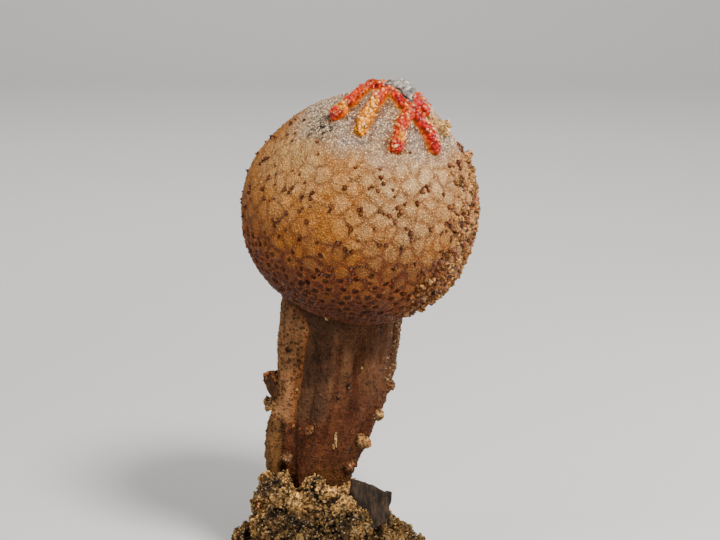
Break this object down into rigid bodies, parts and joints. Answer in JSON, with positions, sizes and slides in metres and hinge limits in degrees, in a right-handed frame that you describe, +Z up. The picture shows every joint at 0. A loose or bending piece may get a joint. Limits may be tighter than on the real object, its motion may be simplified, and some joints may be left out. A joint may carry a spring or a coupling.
{
  "type": "stalked puffball",
  "caption": "Warty round stalked puffball with a red star-shaped mouth, on a stout stalk of fused cords rooted in a crumbly clod of soil.",
  "frame": {"origin": "middle of the flat underside that the soil clod rests on", "axes": "+Z up the stalk, -Y to the front where the mouth's star shows best, +X to the side that the stalk leans to"},
  "size_m": [0.0172, 0.0159, 0.0349],
  "materials": {
    "skin": "satin, warty, slightly translucent",
    "mouth": "moist, pebbly, glossy",
    "stalk": "moist, gelatinous",
    "soil": "matt, crumbly",
    "bark": "matt, fibrous",
    "root": "matt, dry"
  },
  "bodies": {
    "root": {"spore_case": "skin", "mouth_rays": "mouth", "stalk": "stalk", "soil_clod": "soil", "bark_chip": "bark", "root_stub": "root", "husk_sliver": "bark", "crown_crumb_upper": "soil", "crown_crumb_lower": "soil", "crown_crumb_side": "soil", "stalk_crumb_left_high": "soil", "stalk_crumb_left_low": "soil", "stalk_crumb_right_high": "soil", "stalk_crumb_right_ball": "soil", "stalk_crumb_right_middle": "soil", "stalk_crumb_right_low": "soil", "stalk_crumb_front": "soil", "stalk_crumb_front_left": "soil", "stalk_crumb_back": "soil", "stalk_crumb_back_left": "soil"}
  },
  "joints": []
}
